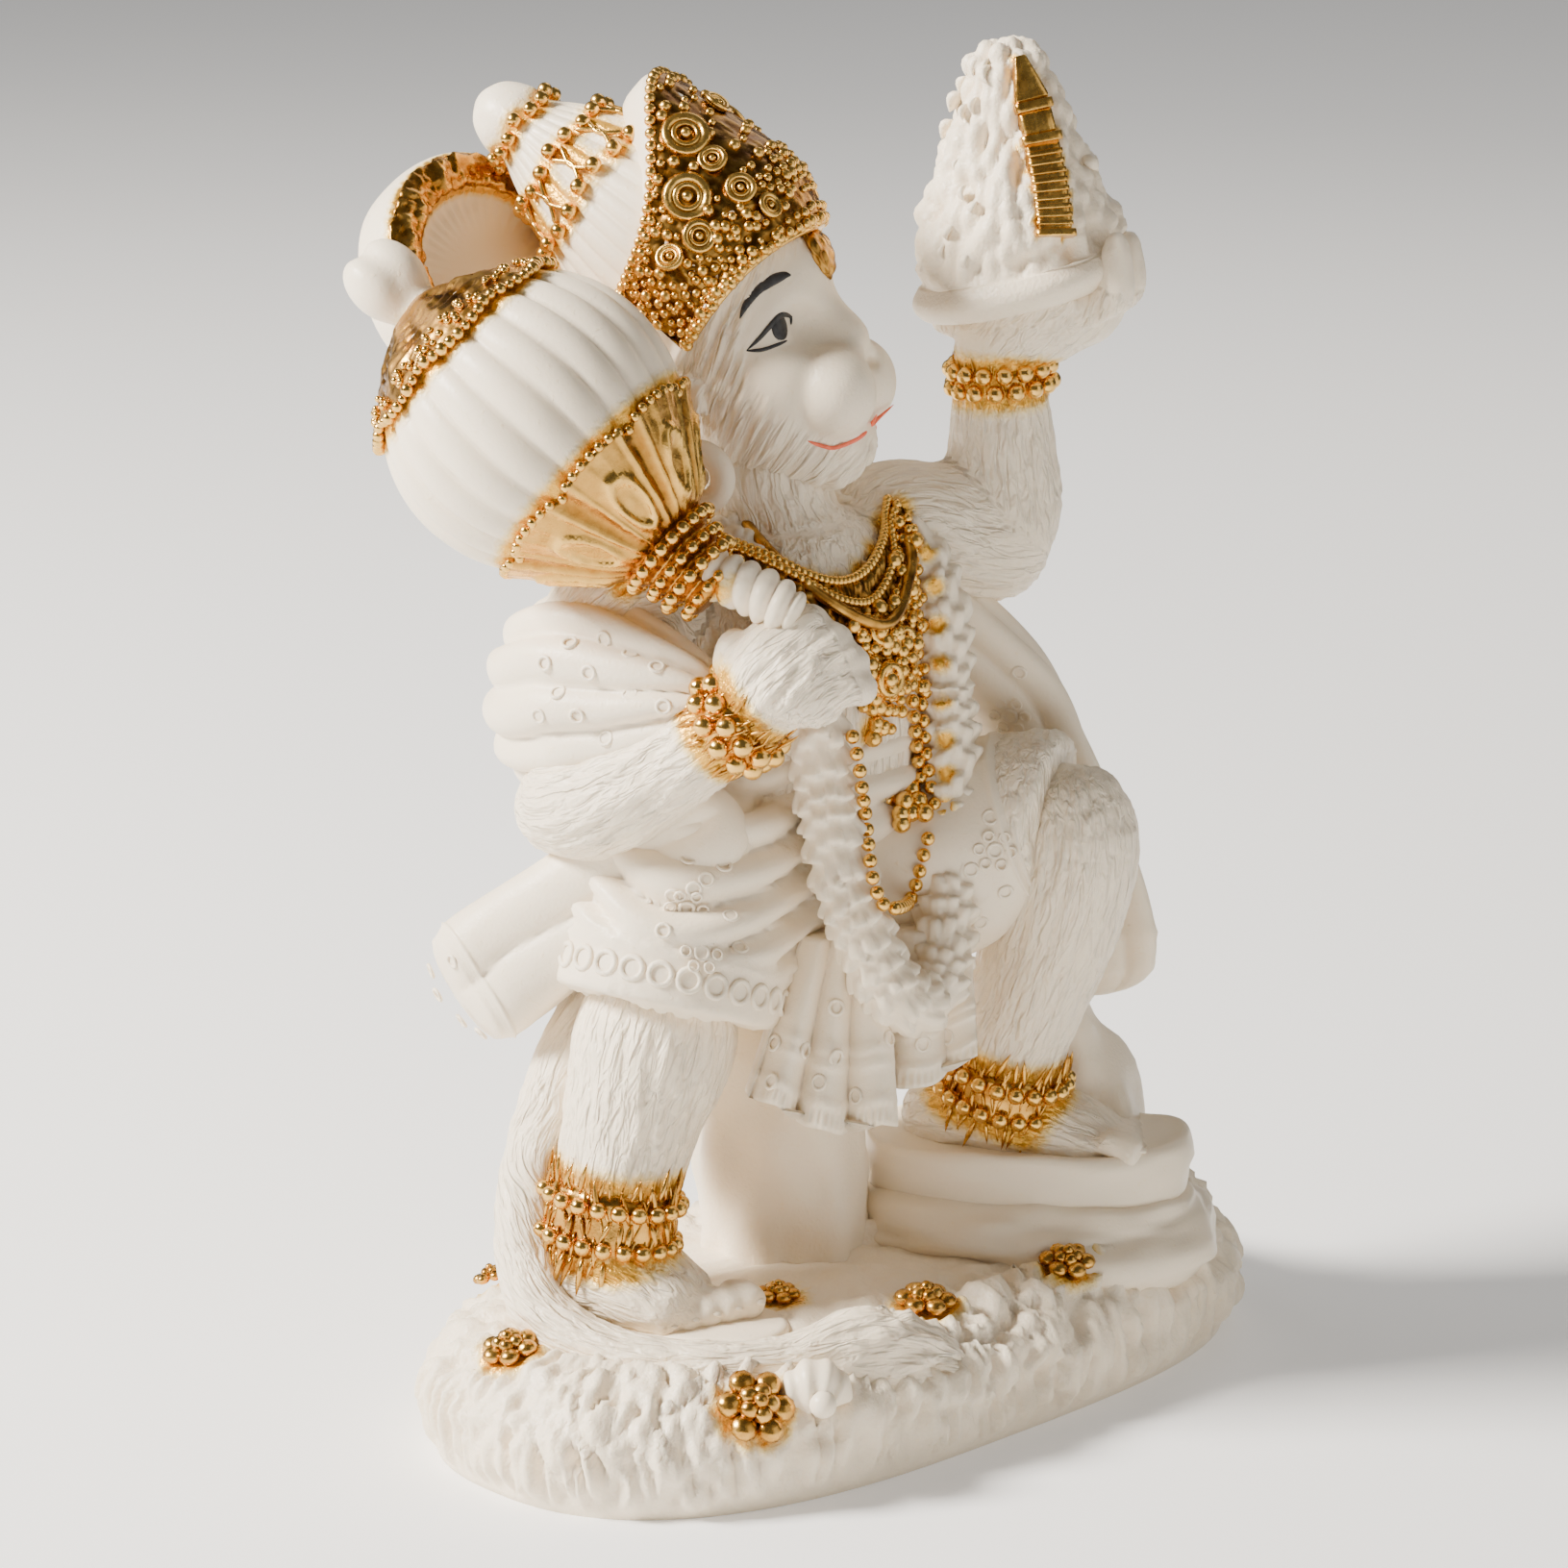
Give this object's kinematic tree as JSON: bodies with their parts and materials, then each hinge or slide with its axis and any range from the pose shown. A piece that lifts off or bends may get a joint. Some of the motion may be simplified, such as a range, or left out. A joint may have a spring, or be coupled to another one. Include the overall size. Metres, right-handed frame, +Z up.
{
  "type": "hanuman figure",
  "caption": "Kneeling-step monkey-deity figurine with raised hill, shouldered mace, tall crown, garland and draped cloth on an oblong grassy base.",
  "frame": {"origin": "centre of the flat underside of the base", "axes": "+Z up through the crown; the figure faces -Y, so its raised left arm is on the +X side and its mace on the -X side"},
  "size_m": [0.1112, 0.0734, 0.159],
  "materials": {
    "marble_resin": "warm white marble-dust resin, satin, slightly translucent with faint glitter",
    "gilding": "bright gold paint with amber lacquer in the hollows and at its edges"
  },
  "bodies": {
    "root": {"hanuman_figure": "marble_resin"}
  },
  "joints": []
}
